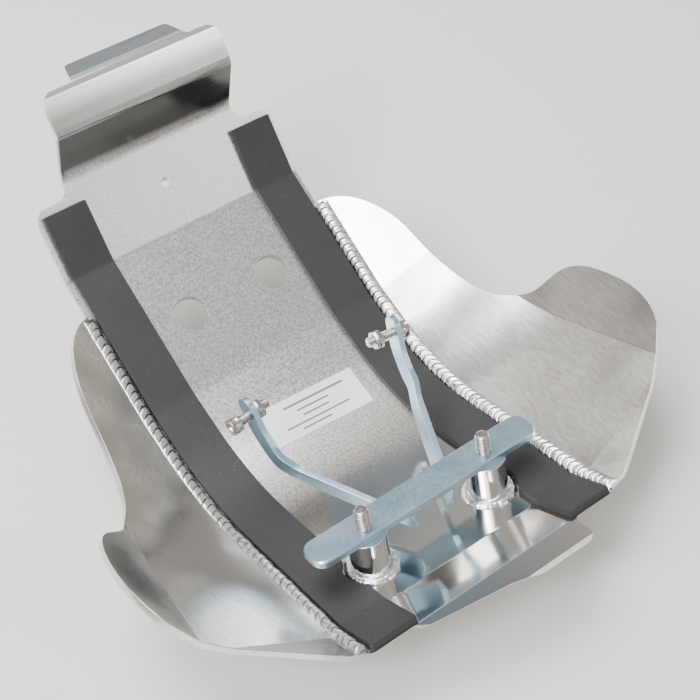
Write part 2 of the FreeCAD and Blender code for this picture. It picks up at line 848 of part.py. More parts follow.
def arm_eye():
    """Middle of the eye, a little short of the strap's round end, and the way out of its flat side."""
    (rear_x, rear_y), (tip_x, tip_y) = ARM_PLAN[-2:]
    y, z = ARM_SIDE[-1]
    back = Vector(0, ARM_SIDE[-2][0] - y, ARM_SIDE[-2][1] - z).normalize() * EYE_BACK
    y, z = y + back.y, z + back.z
    x = rear_x + (tip_x - rear_x) * (y - rear_y) / (tip_y - rear_y)
    return Vector(x, y, z), Vector(tip_y - rear_y, rear_x - tip_x, 0).normalize()


def arm_solid():
    """Right arm: plan band and side band in common, drilled square to its side."""
    eye, outward = arm_eye()
    tall = arm_plan().extrude(Vector(0, 0, size("plate_width")))
    wide = arm_side().extrude(Vector(size("plate_width"), 0, 0))
    round_end = Vector(0, *ARM_SIDE[-1])
    end = Part.makeCylinder(size("arm_width") / 2, size("plate_width"), round_end, Vector(1, 0, 0))
    hole = Part.makeCylinder(size("arm_thread") / 2 + EYE_PLAY, size("arm_width"), eye, outward)
    hole.translate(outward * (-size("arm_width") / 2))
    return as_solid(tall.common(wide.fuse(end)).cut(hole))


right_arm = arm_solid()
keep_shape("arm_right", right_arm, rest)
keep_shape("arm_left", right_arm.mirror(Vector(0, 0, 0), Vector(1, 0, 0)), rest)

# Arm bolts and nuts: the left bolt is half undone, the right one holds its nut clear of the arm


def hex_nut(label, placement):
    blank = doc.addObject("Part::Prism", label + "_hex")
    blank.Polygon = 6
    blank.setExpression("Circumradius", "Sizes.nut_flats / sqrt(3)")
    blank.setExpression("Height", "Sizes.nut_height")
    bore = cylinder(label + "_bore", "Sizes.arm_thread", "Sizes.nut_height")
    return finish(cut(label + "_cut", blank, bore), label, placement)


def through_eye(side, offset):
    """Placement on the eye's axis, offset outwards, with Z pointing to the middle of the part."""
    eye, outward = arm_eye()
    place = eye + outward * offset
    inward = Vector(-side * outward.x, -outward.y, 0)
    return rest * Placement(Vector(side * place.x, place.y, place.z), Rotation(Vector(0, 0, 1), inward))


strap_face = size("arm_gauge") / 2
for side, name, head_gap, nut_gap in (
    (-1, "left", size("left_head_gap"), 0.0),
    (1, "right", 0.0, size("right_nut_gap")),
):
    cap_screw("arm_bolt_" + name, "arm", through_eye(side, strap_face + head_gap))
    hex_nut("arm_nut_" + name, through_eye(side, -strap_face - nut_gap))

# Label: a plain paper sticker following the curve of the belly


def label_solid():
    glue = size("label_glue")
    film_section = strip_path.section(glue, glue + size("label_film"))
    face = Part.Face(Part.Wire([edge.toShape() for edge in film_section]))
    film = face.extrude(Vector(size("plate_width"), 0, 0))
    film.translate(Vector(-size("plate_width") / 2, 0, 0))
    corner = Vector(-size("label_length") / 2, -size("label_width") / 2, 0)
    window = Part.makeBox(size("label_length"), size("label_width"), size("plate_width"), corner)
    middle = Vector(size("label_side"), size("label_place"), 0)
    window.Placement = Placement(middle, Rotation(Vector(0, 0, 1), size("label_turn"))) * window.Placement
    return as_solid(film.common(window))


keep_shape("label", label_solid(), rest)

# Check every object, then write one file for each sub-part

doc.recompute()
for item in doc.Objects:
    if "Invalid" in item.State or "Error" in item.State:
        raise RuntimeError("%s failed: %s" % (item.Name, item.State))
for piece in parts:
    if piece.Shape.isNull() or not piece.Shape.isValid():
        raise RuntimeError("%s has no valid shape" % piece.Label)

os.makedirs("parts", exist_ok=True)
for piece in parts:
    piece.Shape.exportStep("parts/%s.step" % piece.Label)
    print("%-20s solids %d volume %.0f" % (piece.Label, len(piece.Shape.Solids), piece.Shape.Volume))
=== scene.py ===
import math
import random

import bmesh
import bpy
from mathutils import Matrix, Quaternion, Vector, noise
from mathutils.bvhtree import BVHTree


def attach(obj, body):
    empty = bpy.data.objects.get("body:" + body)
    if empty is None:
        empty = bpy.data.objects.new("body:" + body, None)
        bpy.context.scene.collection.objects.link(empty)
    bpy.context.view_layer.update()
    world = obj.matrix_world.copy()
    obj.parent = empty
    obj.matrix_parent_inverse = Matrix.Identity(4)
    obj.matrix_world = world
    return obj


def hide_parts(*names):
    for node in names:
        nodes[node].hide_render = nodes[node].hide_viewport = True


# Motorcycle skid plate: folded aluminium sheet with welded side wings, glued rubber strips,
# a zinc plated clamp bar on two tubes and two bent arms. Metres; +Y is the hook, +Z is up.

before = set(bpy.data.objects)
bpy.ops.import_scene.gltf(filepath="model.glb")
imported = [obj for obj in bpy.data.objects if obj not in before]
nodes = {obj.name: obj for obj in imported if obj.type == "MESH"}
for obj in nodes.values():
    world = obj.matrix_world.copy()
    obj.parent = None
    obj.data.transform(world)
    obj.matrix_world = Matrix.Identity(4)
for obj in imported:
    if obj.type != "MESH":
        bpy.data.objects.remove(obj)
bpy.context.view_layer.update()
MM = 0.001

# Camera: looks down on the plate from behind its left side, turned a little on its axis.

camera_place = Vector((-0.2930, -0.4433, 0.6585))
camera_aim = Vector((0.0228, -0.0110, 0.0600))
camera_roll = math.radians(-0.87)

camera_data = bpy.data.cameras.new("product_camera")
camera_data.sensor_width = 36.0
camera_data.lens = 72.5
camera = bpy.data.objects.new("product_camera", camera_data)
camera.rotation_mode = "QUATERNION"
camera.location = camera_place
looking = (camera_aim - camera_place).to_track_quat("-Z", "Y")
camera.rotation_quaternion = looking @ Quaternion((0, 0, 1), camera_roll)
bpy.context.scene.collection.objects.link(camera)
bpy.context.scene.camera = camera

# Studio: pale seamless paper under soft boxes. The walls are a sky of soft patches, each placed
# where one panel of the plate mirrors it, so every panel of bare metal has its own tone.


def linear(code):
    """Linear colour with alpha from an sRGB hex value."""
    values = [int(code[place:place + 2], 16) / 255 for place in (1, 3, 5)]
    return [v / 12.92 if v <= 0.04045 else ((v + 0.055) / 1.055) ** 2.4 for v in values] + [1.0]


def node(tree, kind, inputs=None, **settings):
    """Adds one node; each input takes a value or another node's output."""
    made = tree.nodes.new(kind)
    for name, value in settings.items():
        setattr(made, name, value)
    for key, value in (inputs or {}).items():
        if isinstance(value, bpy.types.NodeSocket):
            tree.links.new(value, made.inputs[key])
        else:
            made.inputs[key].default_value = value
    return made


def toward(azimuth, elevation):
    """Direction in the sky: azimuth 0 is +Y and 90 is +X, in degrees."""
    a, e = math.radians(azimuth), math.radians(elevation)
    return Vector((math.sin(a) * math.cos(e), math.cos(a) * math.cos(e), math.sin(e)))


sky_patches = [
    # azimuth, elevation, half width, softness, colour, strength
    (-112, 45, 17, 9, "#FFFFFF", 4.6),
    (-45, 33, 11, 8, "#343A44", 0.6),
    (157, 18, 20, 18, "#FFFBF4", 1.15),
    (150, 34, 6, 8, "#FFFFFF", 4.0),
    (128, 60, 16, 16, "#C6C9CE", 1.0),
    (28, 47, 14, 16, "#D4CFC7", 1.12),
    (22, 26, 6, 6, "#8694A0", 1.0),
    (72, 8, 26, 20, "#C2BCB2", 1.1),
]

world = bpy.data.worlds.new("studio_walls")
bpy.context.scene.world = world
world.use_nodes = True
sky = world.node_tree
sky.nodes.clear()
direction = node(sky, "ShaderNodeTexCoord").outputs["Generated"]
mixed = node(sky, "ShaderNodeRGB").outputs[0]
mixed.default_value = linear("#BFBBB5")
for azimuth, elevation, half_width, softness, colour, strength in sky_patches:
    facing = node(sky, "ShaderNodeVectorMath", {0: direction, 1: toward(azimuth, elevation)},
                  operation="DOT_PRODUCT").outputs["Value"]
    spot = node(sky, "ShaderNodeMapRange", {
        "Value": facing,
        "From Min": math.cos(math.radians(half_width + softness / 2)),
        "From Max": math.cos(math.radians(max(0.0, half_width - softness / 2))),
    }, interpolation_type="SMOOTHERSTEP").outputs["Result"]
    shade = [channel * strength for channel in linear(colour)[:3]] + [1.0]
    mixed = node(sky, "ShaderNodeMix", {"Factor": spot, "A": mixed, "B": shade},
                 data_type="RGBA").outputs["Result"]
background = node(sky, "ShaderNodeBackground", {"Color": mixed, "Strength": 1.06})
node(sky, "ShaderNodeOutputWorld", {"Surface": background.outputs[0]})


def soft_box(name, azimuth, elevation, distance, side, power):
    """Square area light aimed at the object."""
    light = bpy.data.lights.new(name, "AREA")
    light.shape = "SQUARE"
    light.size = side
    light.energy = power
    lamp = bpy.data.objects.new(name, light)
    lamp.location = toward(azimuth, elevation) * distance
    lamp.rotation_euler = (-toward(azimuth, elevation)).to_track_quat("-Z", "Y").to_euler()
    bpy.context.scene.collection.objects.link(lamp)


soft_box("soft_box_front", -26, 71, 1.6, 1.0, 31.0)
soft_box("soft_box_left", -104, 48, 1.5, 0.5, 12.0)

# Pattern scales in the materials below are repeats per metre: 1000 is a pattern of 1 mm. Grain,
# wipe marks and dust are drawn a little coarser than real ones, or they would vanish at this size.


def material_of(name):
    """Empty material and its tree, ready for a shader."""
    made = bpy.data.materials.new(name)
    made.use_nodes = True
    made.node_tree.nodes.clear()
    return made, made.node_tree


def finish_material(tree, shader, bump=None):
    """Joins the shader to the output, with a bump if there is one."""
    if bump is not None:
        tree.links.new(bump, shader.inputs["Normal"])
    node(tree, "ShaderNodeOutputMaterial", {"Surface": shader.outputs[0]})


def blend(tree, factor, first, second, kind="FLOAT"):
    """Mixes two values or two colours by a factor."""
    return node(tree, "ShaderNodeMix", {"Factor": factor, "A": first, "B": second},
                data_type=kind).outputs["Result"]


def ramped(tree, value, low, high, first=0.0, second=1.0):
    """Value carried smoothly from one range to another."""
    return node(tree, "ShaderNodeMapRange", {"Value": value, "From Min": low, "From Max": high,
                                             "To Min": first, "To Max": second},
                interpolation_type="SMOOTHSTEP").outputs["Result"]


def seamless_paper():
    """Pale background paper: matt, with a faint fibre."""
    made, tree = material_of("seamless_paper")
    place = node(tree, "ShaderNodeTexCoord").outputs["Object"]
    fibre = node(tree, "ShaderNodeTexNoise", {"Vector": place, "Scale": 900.0, "Detail": 2.0})
    shader = node(tree, "ShaderNodeBsdfPrincipled", {"Base Color": linear("#E8E7E5"), "Roughness": 0.9})
    bump = node(tree, "ShaderNodeBump", {"Height": fibre.outputs[0], "Strength": 0.05, "Distance": 0.1 * MM})
    finish_material(tree, shader, bump.outputs[0])
    return made


floor_mesh = bpy.data.meshes.new("floor")
floor_reach = 6.0
floor_corners = [(x * floor_reach, y * floor_reach, 0) for x, y in ((-1, -1), (1, -1), (1, 1), (-1, 1))]
floor_mesh.from_pydata(floor_corners, [], [(0, 1, 2, 3)])
floor_mesh.materials.append(seamless_paper())
floor = bpy.data.objects.new("floor", floor_mesh)
bpy.context.scene.collection.objects.link(floor)

# Folded plate: one 4 mm aluminium sheet, bent on a press brake into the hook, nose, belly, ramp
# and kick. Mill finish keeps a fine grain in front; the hook and the rear ramp are buffed, and the
# hook's roll and upright carry painted highlight and painted shade.


def add_piece(name, mesh, material, stands_for=None):
    """Object that moves with the part and, if named, stands in for a node."""
    mesh.materials.append(material)
    made = bpy.data.objects.new(name, mesh)
    bpy.context.scene.collection.objects.link(made)
    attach(made, "root")
    if stands_for:
        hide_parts(stands_for)
    return made


merge_reach = 0.002 * MM
flat_turn = math.radians(0.4)


def sheet_copy(name, round_edge, material, sharp=28.0):
    """The node's own solid with rounded edges and smooth bends; sharp is an angle in degrees."""
    shape = bmesh.new()
    shape.from_mesh(nodes[name].data)
    bmesh.ops.remove_doubles(shape, verts=shape.verts, dist=merge_reach)
    bmesh.ops.dissolve_limit(shape, angle_limit=flat_turn, verts=shape.verts, edges=shape.edges)
    crisp = [edge for edge in shape.edges
             if len(edge.link_faces) == 2 and edge.calc_face_angle() > math.radians(sharp)]
    bmesh.ops.bevel(shape, geom=crisp, offset=round_edge, segments=2, affect="EDGES",
                    clamp_overlap=True, profile=0.6)
    for face in shape.faces:
        face.smooth = True
    mesh = bpy.data.meshes.new(name + "_made")
    shape.to_mesh(mesh)
    shape.free()
    made = add_piece(name + "_made", mesh, material, name)
    weights = made.modifiers.new("even_shading", "WEIGHTED_NORMAL")
    weights.keep_sharp = True


def mill_aluminium():
    """Aluminium sheet as rolled, with a fine grey grain; buffed at the hook and the rear, with painted
    highlight and painted shade on the hook.
    """
    made, tree = material_of("mill_aluminium")
    place = node(tree, "ShaderNodeTexCoord").outputs["Object"]
    grain = node(tree, "ShaderNodeTexNoise", {
        "Vector": place, "Scale": 700.0, "Detail": 3.0, "Roughness": 0.6})
    cloud = node(tree, "ShaderNodeTexNoise", {"Vector": place, "Scale": 22.0, "Detail": 3.0})
    rub = node(tree, "ShaderNodeMapping", {"Vector": place, "Scale": (30.0, 1200.0, 1200.0)})
    brushed = node(tree, "ShaderNodeTexNoise", {"Vector": rub.outputs[0], "Scale": 1.0, "Detail": 2.0})
    along, height = node(tree, "ShaderNodeSeparateXYZ", {0: place}).outputs[1:]
    rear = ramped(tree, along, -25 * MM, -75 * MM)
    hook = ramped(tree, height, 110 * MM, 120 * MM)
    polish = node(tree, "ShaderNodeMath", {0: rear, 1: hook}, operation="MAXIMUM").outputs[0]
    rough = ramped(tree, grain.outputs[0], 0.32, 0.68, 0.28, 0.37)
    sleek = ramped(tree, cloud.outputs[0], 0.35, 0.65, 0.08, 0.13)
    buffing = blend(tree, hook, sleek, ramped(tree, brushed.outputs[0], 0.35, 0.65, 0.13, 0.2))
    speckle = ramped(tree, grain.outputs[0], 0.35, 0.65)
    rolled = blend(tree, speckle, linear("#CBCAC8"), linear("#F1F0EE"), "RGBA")
    # Painted highlight and painted shade on the hook's roll: its top is painted near white, the brow below it
    # a darker grey.
    painted_highlight_crown = ramped(tree, height, 154 * MM, 167 * MM)
    painted_roll_light = blend(tree, painted_highlight_crown, linear("#A4A4A2"), linear("#FAF8F5"), "RGBA")
    # Painted shade: the inner face of the hook's upright is painted dark grey; the outer face keeps the
    # buffed tone.
    painted_shade_upright = ramped(tree, height, 146.5 * MM, 144.5 * MM)
    painted_inner_light = blend(tree, painted_shade_upright, painted_roll_light, linear("#717170"), "RGBA")
    depth = node(tree, "ShaderNodeVectorMath", {0: place, 1: Vector((0.0, 0.98, 0.21))},
                 operation="DOT_PRODUCT").outputs["Value"]
    front = node(tree, "ShaderNodeMath", {
        0: ramped(tree, depth, 182 * MM, 184 * MM), 1: ramped(tree, height, 150 * MM, 148 * MM)},
        operation="MULTIPLY").outputs[0]
    painted_hook_light = blend(tree, front, painted_inner_light, linear("#DEDAD4"), "RGBA")
    buffed_tone_and_painted_light = blend(tree, hook, linear("#DEDAD4"), painted_hook_light, "RGBA")
    tone = blend(tree, polish, rolled, buffed_tone_and_painted_light, "RGBA")
    lines = blend(tree, hook, grain.outputs[0], brushed.outputs[0])
    relief = blend(tree, rear, lines, 0.5)
    shader = node(tree, "ShaderNodeBsdfPrincipled", {
        "Base Color": tone, "Metallic": 1.0, "Roughness": blend(tree, polish, rough, buffing)})
    bump = node(tree, "ShaderNodeBump", {"Height": relief, "Strength": 0.22, "Distance": 0.05 * MM})
    finish_material(tree, shader, bump.outputs[0])
    return made


sheet_copy("base_plate", 0.5 * MM, mill_aluminium())

# Scribed line: the layout mark a fitter left from the pilot hole down to the first bend.

scribe_walk = [
    # points on the sheet, in millimetres
    (1.6, 142.30, 86.85), (2.5, 138.00, 81.54), (2.8, 133.50, 75.98), (2.6, 128.43, 69.72),
]
chin_up = Vector((0.0, -0.7772, 0.6293))
scratch_reach = 0.14 * MM


def scribed_aluminium():
    """Bottom of a scratch: bare bright metal."""
    made, tree = material_of("scribed_aluminium")
    place = node(tree, "ShaderNodeTexCoord").outputs["Object"]
    grit = node(tree, "ShaderNodeTexNoise", {"Vector": place, "Scale": 2500.0, "Detail": 1.0})
    rough = ramped(tree, grit.outputs[0], 0.4, 0.6, 0.15, 0.45)
    shader = node(tree, "ShaderNodeBsdfPrincipled", {
        "Base Color": linear("#FFFFFF"), "Metallic": 1.0, "Roughness": rough})
    finish_material(tree, shader)
    return made


def lofted(name, rings, round_trip=False):
    """Mesh of quads over rings of points; the ends are capped unless the rings come round."""
    count = len(rings[0])
    points = [point for ring in rings for point in ring]
    faces = []
    last = len(rings) if round_trip else len(rings) - 1
    for row in range(last):
        near, far = row * count, (row + 1) % len(rings) * count
        for index in range(count):
            after = (index + 1) % count
            faces.append((near + index, near + after, far + after, far + index))
    if not round_trip:
        faces.append(tuple(reversed(range(count))))
        faces.append(tuple(range(len(points) - count, len(points))))
    mesh = bpy.data.meshes.new(name)
    mesh.from_pydata(points, [], faces)
    shape = bmesh.new()
    shape.from_mesh(mesh)
    bmesh.ops.recalc_face_normals(shape, faces=shape.faces)
    for face in shape.faces:
        face.smooth = len(face.verts) == 4
    shape.to_mesh(mesh)
    shape.free()
    return mesh


scribe_rings = []
for spot in scribe_walk:
    middle = Vector(spot) * MM
    across = Vector((scratch_reach, 0.0, 0.0))
    foot, ridge = middle - chin_up * 0.05 * MM, middle + chin_up * 0.04 * MM
    scribe_rings.append([foot - across, foot + across, ridge + across * 0.4, ridge - across * 0.4])
add_piece("scribed_line", lofted("scribed_line", scribe_rings), scribed_aluminium())

# Wings: 4 mm aluminium sheet cut with a soft outline, folded up at the lobe and at the heel, and
# hand buffed. The buffing leaves cloudy patches that show as blotches in the reflections.


def buffed_aluminium():
    """Hand buffed aluminium: cloudy gloss, fine wipe marks along the wing."""
    made, tree = material_of("buffed_aluminium")
    place = node(tree, "ShaderNodeTexCoord").outputs["Object"]
    cloud = node(tree, "ShaderNodeTexNoise", {"Vector": place, "Scale": 12.0, "Detail": 2.0})
    wipe = node(tree, "ShaderNodeMapping", {"Vector": place, "Scale": (700.0, 90.0, 700.0)})
    marks = node(tree, "ShaderNodeTexNoise", {"Vector": wipe.outputs[0], "Scale": 1.0, "Detail": 3.0})
    wave = node(tree, "ShaderNodeTexNoise", {"Vector": place, "Scale": 24.0, "Detail": 1.0})
    rough = ramped(tree, cloud.outputs[0], 0.35, 0.65, 0.13, 0.26)
    wiping = ramped(tree, marks.outputs[0], 0.3, 0.7)
    wiped = blend(tree, wiping, linear("#DEDBD7"), linear("#F3F1EE"), "RGBA")
    clear = ramped(tree, cloud.outputs[0], 0.40, 0.56)
    tone = blend(tree, clear, linear("#C2C1BF"), wiped, "RGBA")
    shader = node(tree, "ShaderNodeBsdfPrincipled", {"Base Color": tone, "Metallic": 1.0, "Roughness": rough})
    hammer = node(tree, "ShaderNodeBump", {"Height": wave.outputs[0], "Strength": 0.35, "Distance": 1.2 * MM})
    bump = node(tree, "ShaderNodeBump", {"Height": marks.outputs[0], "Strength": 0.18, "Distance": 0.05 * MM,
                                         "Normal": hammer.outputs[0]})
    finish_material(tree, shader, bump.outputs[0])
    return made


buffed = buffed_aluminium()
for side in ("left", "right"):
    sheet_copy("wing_" + side, 0.55 * MM, buffed, 9.0)

# Weld beads: one long fillet weld on each side, laid by hand in overlapping puddles. Each puddle
# froze as a crescent over the last, so the bead is a stack of thin, slightly uneven ripples, with
# painted shade where each one dips under the next.

plate_folds = [
    # place along Y, height and bend radius of the sheet's upper side, in millimetres
    (161.135, 110.107, 0.0), (126.648, 67.519, 12.0), (45.501, 20.669, 60.0),
    (-13.314, -1.908, 125.0), (-140.312, 30.227, 4.0), (-167.788, 47.397, 0.0),
]
bend_steps = 40


def walk_plate(pitch):
    """Places along the sheet's upper side, evenly spaced, front to rear, with the way up at each."""
    corners = [Vector((0.0, y, z)) * MM for y, z, radius in plate_folds]
    radii = [radius for y, z, radius in plate_folds]
    path = [corners[0]]
    for before, corner, after, radius in zip(corners, corners[1:], corners[2:], radii[1:]):
        into, out = (corner - before).normalized(), (after - corner).normalized()
        bend = radius * MM * math.tan(into.angle(out) / 2)
        start, end = corner - into * bend, corner + out * bend
        for index in range(bend_steps + 1):
            share = index / bend_steps
            path.append(start.lerp(corner, share).lerp(corner.lerp(end, share), share))
    path.append(corners[-1])
    walked = []
    left = 0.0
    for near, far in zip(path, path[1:]):
        span = (far - near).length
        if span == 0.0:
            continue
        along = (far - near) / span
        while left < span:
            walked.append((near + along * left, Vector((0.0, along.z, -along.y))))
            left += pitch
        left -= span
    return walked


def surface_of(name):
    """Tree for measuring to a node's surface."""
    mesh = nodes[name].data
    return BVHTree.FromPolygons([v.co for v in mesh.vertices], [p.vertices for p in mesh.polygons])


ripple_pitch = {"left": 5.4 * MM, "right": 4.5 * MM}
ripple_crest = 0.95 * MM
bead_bulge = 1.7 * MM
crescent_lead = 3.6 * MM
root_line = 83.0 * MM
plate_toe = 3.7 * MM
wing_toe = 4.8 * MM
toe_sink = 0.15 * MM
bead_front = 104.6 * MM
bead_rear_gap = 3.4 * MM
run_out = 3 * MM
ring_spacing = 0.3 * MM
across_steps = 16


def ripple(phase, seed):
    """Height of stacked crescents and their painted shade: each rises steeply and dips under the next."""
    number = math.floor(phase)
    share = phase - number
    chance = noise.noise(Vector((number * 3.7, seed, 0.5)))
    rise = math.sin(min(1.0, share / 0.2) * math.pi / 2)
    fall = 1.0 - 0.45 * share - 0.5 * share ** 5 + 0.08 * math.sin(6 * math.pi * share)
    # Painted shade: a dark band at the foot of each ripple, where it dips under the next.
    painted_shade = min(1.0, max(1.0 - share / 0.16, (share - 0.84) / 0.1, 0.0))
    return (1.0 + 0.7 * chance) * rise * fall, painted_shade * (0.75 + 0.5 * chance)


def weld_bead(side, sign):
    """Closed lattice along the bead; rings are finer than the ripples they carry."""
    wing = surface_of("wing_" + side)
    rings = []
    shades = []
    places = [pair for pair in walk_plate(ring_spacing) if pair[0].y < bead_front]
    toe_x = root_line + wing_toe
    toe_height = 5.0 * MM
    look_down = 20 * MM
    total = len(places) - int(bead_rear_gap / ring_spacing)
    for index in range(total):
        place, up = places[index]
        walked = index * ring_spacing
        above = Vector((sign * toe_x, place.y, place.z)) + up * look_down
        hit = wing.ray_cast(above, -up)[0]
        if hit is not None:
            toe_height = (hit - above).dot(up) + look_down
        wander = 0.35 * MM * noise.noise(Vector((walked / (9 * MM), 4.0, side == "left")))
        low = Vector((root_line - plate_toe + wander, -toe_sink, 0))
        high = Vector((toe_x + wander, toe_height - toe_sink, 0))
        chord = high - low
        outward = Vector((-chord.y, chord.x, 0)).normalized()
        fade = min(1.0, walked / run_out, (total - 1 - index) * ring_spacing / run_out)
        ring = []
        for step in range(across_steps + 1):
            share = step / across_steps
            arch = math.sin(math.pi * share) ** 0.8
            reached = walked + crescent_lead * math.sin(math.pi * share) + wander * 3
            lift, painted_shade = ripple(reached / ripple_pitch[side], sign)
            shades.append(painted_shade * min(1.0, 2.0 * arch))
            crest = ripple_crest * lift * min(1.0, 2.2 * arch)
            swell = bead_bulge * arch + crest * (0.35 + 0.65 * arch)
            grit = 0.04 * MM * noise.noise(Vector((index * 0.9, step * 1.3, sign)))
            spot = low + chord * share + outward * (swell * fade + grit)
            ring.append(Vector((sign * spot.x, place.y, place.z)) + up * spot.y)
        ring.append(Vector((sign * root_line, place.y, place.z)) + up * 0.8 * MM)
        shades.append(0.0)
        rings.append(ring)
    mesh = lofted("weld_bead_" + side + "_ripples", rings)
    mesh.attributes.new("painted_shade", "FLOAT", "POINT").data.foreach_set("value", shades)
    return mesh


def weld_metal():
    """Aluminium weld metal: painted highlight on the crests, painted shade in the hollows and a thin band of
    painted shade where one ripple dips under the next.
    """
    made, tree = material_of("weld_metal")
    place = node(tree, "ShaderNodeTexCoord").outputs["Object"]
    grit = node(tree, "ShaderNodeTexNoise", {"Vector": place, "Scale": 1500.0, "Detail": 3.0})
    cloud = node(tree, "ShaderNodeTexNoise", {"Vector": place, "Scale": 220.0, "Detail": 2.0})
    hollow = node(tree, "ShaderNodeNewGeometry").outputs["Pointiness"]
    # Painted highlight and painted shade: by pointiness the convex crests are painted near white and the
    # hollows dark grey.
    crest = ramped(tree, hollow, 0.44, 0.51)
    painted_crest_light = blend(tree, crest, linear("#77777B"), linear("#F6F6F7"), "RGBA")
    # The painted shade band carried on the bead's mesh darkens each ripple's foot further.
    shade_band = node(tree, "ShaderNodeAttribute", attribute_name="painted_shade").outputs["Fac"]
    tone = blend(tree, shade_band, painted_crest_light, linear("#48484C"), "RGBA")
    rough = ramped(tree, cloud.outputs[0], 0.35, 0.65, 0.2, 0.38)
    shader = node(tree, "ShaderNodeBsdfPrincipled", {"Base Color": tone, "Metallic": 1.0, "Roughness": rough})
    bump = node(tree, "ShaderNodeBump", {"Height": grit.outputs[0], "Strength": 0.25, "Distance": 0.05 * MM})
    finish_material(tree, shader, bump.outputs[0])
    return made


welded = weld_metal()
for side, sign in (("left", -1), ("right", 1)):
    bead = "weld_bead_" + side
    add_piece(bead + "_made", weld_bead(side, sign), welded, bead)

# Spacer tubes: turned aluminium bosses, bright and nearly mirror smooth, and the irregular ring of
# weld puddles round the foot of each one.


def turned_aluminium():
    """Turned aluminium bar: a bright mirror with faint tool rings."""
    made, tree = material_of("turned_aluminium")
    place = node(tree, "ShaderNodeTexCoord").outputs["Object"]
    stretch = node(tree, "ShaderNodeMapping", {"Vector": place, "Scale": (30.0, 30.0, 2200.0)})
    rings = node(tree, "ShaderNodeTexNoise", {"Vector": stretch.outputs[0], "Scale": 1.0, "Detail": 2.0})
    rough = ramped(tree, rings.outputs[0], 0.3, 0.7, 0.07, 0.16)
    shader = node(tree, "ShaderNodeBsdfPrincipled", {
        "Base Color": linear("#EFEEEE"), "Metallic": 1.0, "Roughness": rough})
    bump = node(tree, "ShaderNodeBump", {"Height": rings.outputs[0], "Strength": 0.12, "Distance": 0.03 * MM})
    finish_material(tree, shader, bump.outputs[0])
    return made


turned = turned_aluminium()
for side in ("left", "right"):
    sheet_copy("spacer_tube_" + side, 0.35 * MM, turned)


def frame_at(place, upward, sideways):
    """Matrix for a local Z along upward and a local X along sideways, place in millimetres."""
    z = Vector(upward).normalized()
    x = Vector(sideways)
    x = (x - z * x.dot(z)).normalized()
    y = z.cross(x)
    made = Matrix((x, y, z)).transposed().to_4x4()
    made.translation = Vector(place) * MM
    return made


def round_point(radius, angle, height):
    """Point round the local Z, from millimetres."""
    return Vector((radius * math.cos(angle), radius * math.sin(angle), height)) * MM


ramp_up = (0.0, 0.24531, 0.96945)
tube_foot = (40.7, -115.106, 23.849)
tube_face = 10.9
weld_leg = 3.4
round_steps = 180
leg_steps = 12


def tube_weld(side, sign):
    """Ring of frozen puddles round one tube, each a low dome with a dimple in it; millimetres."""
    foot_x, foot_y, foot_z = tube_foot
    place = frame_at((sign * foot_x, foot_y, foot_z), ramp_up, (1, 0, 0))
    chance = random.Random(11 + sign)
    puddles = []
    turn = 0.0
    while turn < 2 * math.pi - 0.25:
        puddles.append((turn, chance.uniform(0.26, 0.40), chance.uniform(0.7, 1.25)))
        turn += puddles[-1][1] * 1.25
    rings = []
    for index in range(round_steps):
        angle = 2 * math.pi * index / round_steps
        swell = 0.0
        for middle, width, height in puddles:
            gap = abs((angle - middle + math.pi) % (2 * math.pi) - math.pi) / width
            if gap < 1.0:
                dimple = 0.35 * max(0.0, 0.35 - gap)
                swell = max(swell, height * math.sqrt(1.0 - gap * gap) - dimple)
        ring = []
        for step in range(leg_steps + 1):
            share = step / leg_steps
            radius = tube_face + weld_leg * (1.0 - share) + 1.4 * swell * (1.0 - share)
            dome = 2.2 * math.sin(math.pi * (0.08 + 0.62 * share)) ** 0.9 * (0.35 + 0.65 * share ** 0.5)
            puddle = 0.9 * swell * math.sin(math.pi * min(1.0, share * 1.15))
            pit = Vector((math.cos(angle) * 9, math.sin(angle) * 9, share * 5 + sign))
            height = -0.1 + dome + puddle + 0.10 * noise.noise(pit)
            ring.append(place @ round_point(radius, angle, height))
        ring.append(place @ round_point(tube_face, angle, 0.2))
        rings.append(ring)
    return lofted("tube_weld_" + side + "_puddles", rings, True)


for side, sign in (("left", -1), ("right", 1)):
    puddle_ring = "tube_weld_" + side
    add_piece(puddle_ring + "_made", tube_weld(side, sign), welded, puddle_ring)

# Rubber strips: black sheet rubber, knife cut and glued along both sides of the plate, where the
# frame rails rest. The rubber is matt and carries a few specks of dust.


def black_rubber():
    """Solid black rubber sheet: matt and faintly mottled, with specks of dust."""
    made, tree = material_of("black_rubber")
    place = node(tree, "ShaderNodeTexCoord").outputs["Object"]
    grain = node(tree, "ShaderNodeTexNoise", {"Vector": place, "Scale": 1100.0, "Detail": 2.0})
    cloud = node(tree, "ShaderNodeTexNoise", {"Vector": place, "Scale": 35.0, "Detail": 3.0})
    specks = node(tree, "ShaderNodeTexVoronoi", {"Vector": place, "Scale": 260.0})
    dust = ramped(tree, specks.outputs["Distance"], 0.09, 0.05)
    tone = blend(tree, cloud.outputs[0], linear("#262627"), linear("#303032"), "RGBA")
    thin_dust = node(tree, "ShaderNodeMath", {0: dust, 1: 0.35}, operation="MULTIPLY").outputs[0]
    dusty = blend(tree, thin_dust, tone, linear("#8A8885"), "RGBA")
    rough = ramped(tree, grain.outputs[0], 0.35, 0.65, 0.5, 0.66)
    shader = node(tree, "ShaderNodeBsdfPrincipled", {"Base Color": dusty, "Roughness": rough})
    bump = node(tree, "ShaderNodeBump", {"Height": grain.outputs[0], "Strength": 0.3, "Distance": 0.06 * MM})
    finish_material(tree, shader, bump.outputs[0])
    return made


rubber = black_rubber()
for side in ("left", "right"):
    sheet_copy("rubber_strip_" + side, 0.3 * MM, rubber)

# Clamp bar and arms: flat steel bar and plate, zinc plated to a pale satin blue. The bar is screwed
# to the tubes and the arms are welded under it.


